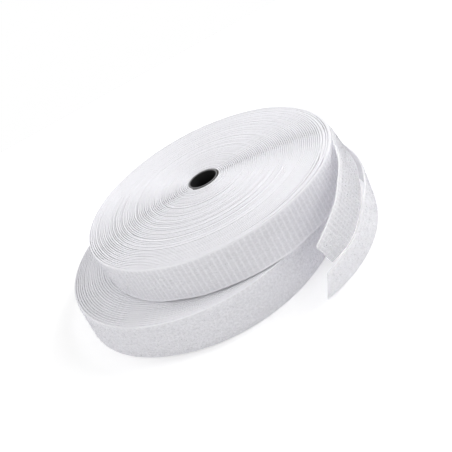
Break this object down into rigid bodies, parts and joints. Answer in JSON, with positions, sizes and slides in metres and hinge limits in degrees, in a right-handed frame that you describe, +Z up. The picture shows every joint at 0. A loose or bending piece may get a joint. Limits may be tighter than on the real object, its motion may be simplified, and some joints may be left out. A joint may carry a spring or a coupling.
{
  "type": "hook and loop tape rolls",
  "caption": "Roll of white hook tape lying on a larger roll of white loop tape, each wound edge-up on a black plastic core, with a free tail of tape curling away from each roll.",
  "frame": {"origin": "middle of the footprint, on the surface that the loop roll lies on", "axes": "+Z up along both cores' axes, -Y towards the side where the tails end, +X to the side where they pass the rolls"},
  "size_m": [0.3016, 0.3146, 0.0764],
  "materials": {
    "hook_tape": "woven nylon with a fine ribbed face of hooks",
    "loop_tape": "woven nylon with a soft brushed pile of loops",
    "core_plastic": "moulded, satin black",
    "tab_adhesive": "double-sided adhesive film"
  },
  "bodies": {
    "loop_roll": {"loop_core": "core_plastic", "loop_starter_tab": "tab_adhesive", "loop_inner_turns": "loop_tape", "loop_outer_turns": "loop_tape"},
    "loop_free_end": {"loop_tail": "loop_tape"},
    "hook_roll": {"hook_core": "core_plastic", "hook_starter_tab": "tab_adhesive", "hook_inner_turns": "hook_tape", "hook_outer_turns": "hook_tape"},
    "hook_free_end": {"hook_tail": "hook_tape"}
  },
  "joints": [
    {"name": "hook_roll_turn", "type": "hinge", "parent": "loop_roll", "child": "hook_roll", "pos_m": [0.01312, 0.02065, 0.0573], "axis": [0, 0, 1], "continuous": true},
    {"name": "hook_tail_swing", "type": "hinge", "parent": "hook_roll", "child": "hook_free_end", "pos_m": [0.11716, 0.09047, 0.0573], "axis": [0, 0, 1], "range_deg": [0, 75]},
    {"name": "loop_tail_swing", "type": "hinge", "parent": "loop_roll", "child": "loop_free_end", "pos_m": [-0.00162, 0.15688, 0.019], "axis": [0, 0, 1], "range_deg": [0, 60]}
  ]
}
